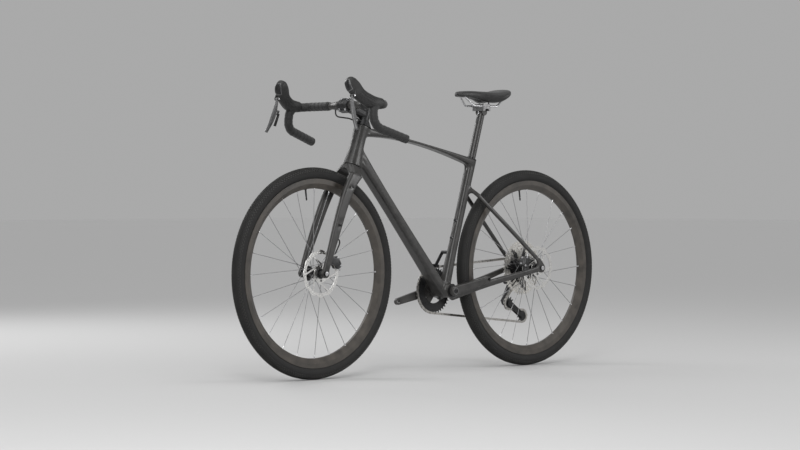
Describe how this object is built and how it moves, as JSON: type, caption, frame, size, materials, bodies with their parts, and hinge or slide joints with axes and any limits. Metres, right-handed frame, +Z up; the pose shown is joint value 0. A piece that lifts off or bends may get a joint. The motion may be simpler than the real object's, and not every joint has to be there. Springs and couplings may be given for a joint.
{
  "type": "gravel bike",
  "caption": "Gravel bicycle with a sloping frame, drop handlebar, hydraulic disc brakes, rear derailleur drivetrain, deep rims and fine-tread tyres.",
  "frame": {"origin": "on the ground, midway between the two tyres' contact points, in the bicycle's middle plane", "axes": "+X forward, +Y to the rider's left, +Z up"},
  "size_m": [1.7629, 0.4944, 1.0042],
  "materials": {
    "frame_paint": "satin dark grey paint",
    "rim_carbon": "matte dark laminate",
    "tyre_rubber": "matte black",
    "grip_rubber": "matte black",
    "saddle_cover": "matte black synthetic cover",
    "black_alloy": "black anodised",
    "bright_alloy": "satin",
    "bright_steel": "machined and drilled",
    "spoke_steel": "dark satin",
    "black_plastic": "moulded"
  },
  "bodies": {
    "frame": {"head_tube": "frame_paint", "top_tube": "frame_paint", "down_tube": "frame_paint", "seat_tube": "frame_paint", "bottom_bracket_shell": "frame_paint", "chainstays": "frame_paint", "seatstays": "frame_paint", "derailleur_hanger": "black_alloy", "seat_clamp": "frame_paint", "frame_bearings": "bright_steel", "rear_thru_axle": "black_alloy", "rear_caliper": "black_alloy", "bottle_bosses": "black_alloy", "chain_guide": "black_plastic", "chain": "bright_steel", "derailleur_knuckle": "black_alloy"},
    "seatpost": {"seatpost": "rim_carbon"},
    "saddle_clamp": {"saddle_clamp": "black_alloy"},
    "saddle": {"saddle_rails": "bright_steel", "saddle_pad": "saddle_cover"},
    "steering": {"fork_crown": "frame_paint", "fork_legs": "frame_paint", "front_thru_axle": "black_alloy", "front_caliper": "black_alloy", "stem": "black_alloy", "stem_faceplate": "black_alloy", "stem_bolts": "bright_alloy", "headset_spacers": "black_alloy", "handlebar": "black_alloy", "bar_tape": "grip_rubber", "bar_end_plugs": "black_plastic", "lever_hoods": "grip_rubber", "brake_hoses": "black_plastic"},
    "left_brake_lever": {"left_brake_lever": "black_alloy"},
    "right_brake_lever": {"right_brake_lever": "black_alloy"},
    "shift_paddle": {"shift_paddle": "black_plastic"},
    "front_outer_pad": {"front_outer_pad": "black_plastic"},
    "front_inner_pad": {"front_inner_pad": "black_plastic"},
    "rear_outer_pad": {"rear_outer_pad": "black_plastic"},
    "rear_inner_pad": {"rear_inner_pad": "black_plastic"},
    "front_wheel": {"front_tyre": "tyre_rubber", "front_rim": "rim_carbon", "front_spokes": "spoke_steel", "front_hub": "black_alloy", "front_rotor": "bright_steel"},
    "rear_wheel": {"rear_tyre": "tyre_rubber", "rear_rim": "rim_carbon", "rear_spokes": "spoke_steel", "rear_hub": "black_alloy", "rear_rotor": "bright_steel"},
    "cassette": {"cassette": "bright_steel"},
    "crank": {"right_crank": "black_alloy", "left_crank": "black_alloy", "crank_spindle": "black_alloy", "chainring": "black_alloy"},
    "derailleur_link": {"derailleur_link": "black_alloy"},
    "derailleur_cage_knuckle": {"derailleur_cage_knuckle": "black_alloy"},
    "derailleur_cage": {"derailleur_cage": "black_alloy"},
    "guide_pulley": {"guide_pulley": "black_plastic"},
    "tension_pulley": {"tension_pulley": "black_plastic"}
  },
  "joints": [
    {"name": "seat_height", "type": "slide", "parent": "frame", "child": "seatpost", "axis": [-0.2924, 0, 0.9563], "range_m": [-0.06, 0.06]},
    {"name": "saddle_tilt", "type": "hinge", "parent": "seatpost", "child": "saddle_clamp", "pos_m": [-0.28905, 0, 0.91507], "axis": [0, 1, 0], "range_deg": [-8, 8]},
    {"name": "saddle_fore_aft", "type": "slide", "parent": "saddle_clamp", "child": "saddle", "axis": [1, 0, 0], "range_m": [-0.015, 0.015]},
    {"name": "steering", "type": "hinge", "parent": "frame", "child": "steering", "pos_m": [0.35027, 0, 0.71631], "axis": [-0.3256, 0, 0.9455], "range_deg": [-60, 60]},
    {"name": "front_wheel_spin", "type": "hinge", "parent": "steering", "child": "front_wheel", "pos_m": [0.5265, 0, 0.355], "axis": [0, 1, 0], "continuous": true},
    {"name": "rear_wheel_spin", "type": "hinge", "parent": "frame", "child": "rear_wheel", "pos_m": [-0.5265, 0, 0.355], "axis": [0, 1, 0], "continuous": true},
    {"name": "left_lever", "type": "hinge", "parent": "steering", "child": "left_brake_lever", "pos_m": [0.52227, 0.186, 0.944], "axis": [0, 1, 0], "range_deg": [0, 20], "stiffness_Nm_per_rad": 2, "springref_deg": -8.59},
    {"name": "right_lever", "type": "hinge", "parent": "steering", "child": "right_brake_lever", "pos_m": [0.52227, -0.186, 0.944], "axis": [0, 1, 0], "range_deg": [0, 20], "stiffness_Nm_per_rad": 2, "springref_deg": -8.59},
    {"name": "paddle", "type": "hinge", "parent": "right_brake_lever", "child": "shift_paddle", "pos_m": [0.51192, -0.19327, 0.89984], "axis": [0.1351, -0.3317, -0.9337], "range_deg": [0, 15], "stiffness_Nm_per_rad": 0.02, "springref_deg": -17.19},
    {"name": "front_outer_pad_slide", "type": "slide", "parent": "steering", "child": "front_outer_pad", "axis": [0, -1, 0], "range_m": [0, 0.0004]},
    {"name": "front_inner_pad_slide", "type": "slide", "parent": "steering", "child": "front_inner_pad", "axis": [0, 1, 0], "range_m": [0, 0.0004]},
    {"name": "rear_outer_pad_slide", "type": "slide", "parent": "frame", "child": "rear_outer_pad", "axis": [0, -1, 0], "range_m": [0, 0.0004]},
    {"name": "rear_inner_pad_slide", "type": "slide", "parent": "frame", "child": "rear_inner_pad", "axis": [0, 1, 0], "range_m": [0, 0.0004]},
    {"name": "crank_spin", "type": "hinge", "parent": "frame", "child": "crank", "pos_m": [-0.0955, 0, 0.282], "axis": [0, 1, 0], "continuous": true, "deforming": ["chain"]},
    {"name": "cassette_spin", "type": "hinge", "parent": "frame", "child": "cassette", "pos_m": [-0.5265, 0, 0.355], "axis": [0, 1, 0], "continuous": true},
    {"name": "derailleur_shift", "type": "hinge", "parent": "frame", "child": "derailleur_link", "pos_m": [-0.5075, -0.06875, 0.28584], "axis": [0.75, 0.5, 0.433], "range_deg": [-22, 40], "deforming": ["chain"]},
    {"name": "derailleur_follow", "type": "hinge", "parent": "derailleur_link", "child": "derailleur_cage_knuckle", "pos_m": [-0.4845, -0.06875, 0.246], "axis": [0.75, 0.5, 0.433], "range_deg": [-40, 22]},
    {"name": "cage_swing", "type": "hinge", "parent": "derailleur_cage_knuckle", "child": "derailleur_cage", "pos_m": [-0.4845, -0.05, 0.225], "axis": [0, -1, 0], "range_deg": [-10, 70], "stiffness_Nm_per_rad": 1, "deforming": ["chain"]},
    {"name": "guide_pulley_spin", "type": "hinge", "parent": "derailleur_cage", "child": "guide_pulley", "pos_m": [-0.4845, -0.04675, 0.225], "axis": [0, 1, 0], "continuous": true},
    {"name": "tension_pulley_spin", "type": "hinge", "parent": "derailleur_cage", "child": "tension_pulley", "pos_m": [-0.55569, -0.04675, 0.17675], "axis": [0, 1, 0], "continuous": true}
  ],
  "couplings": [
    {"joint": "front_outer_pad_slide", "follows": "left_lever", "m_per_rad": 0.00114},
    {"joint": "front_inner_pad_slide", "follows": "left_lever", "m_per_rad": 0.00114},
    {"joint": "rear_outer_pad_slide", "follows": "right_lever", "m_per_rad": 0.00114},
    {"joint": "rear_inner_pad_slide", "follows": "right_lever", "m_per_rad": 0.00114},
    {"joint": "cassette_spin", "follows": "crank_spin", "ratio": 2.2222},
    {"joint": "guide_pulley_spin", "follows": "crank_spin", "ratio": -3.6364},
    {"joint": "tension_pulley_spin", "follows": "crank_spin", "ratio": 3.6364},
    {"joint": "derailleur_follow", "follows": "derailleur_shift", "ratio": -1}
  ]
}
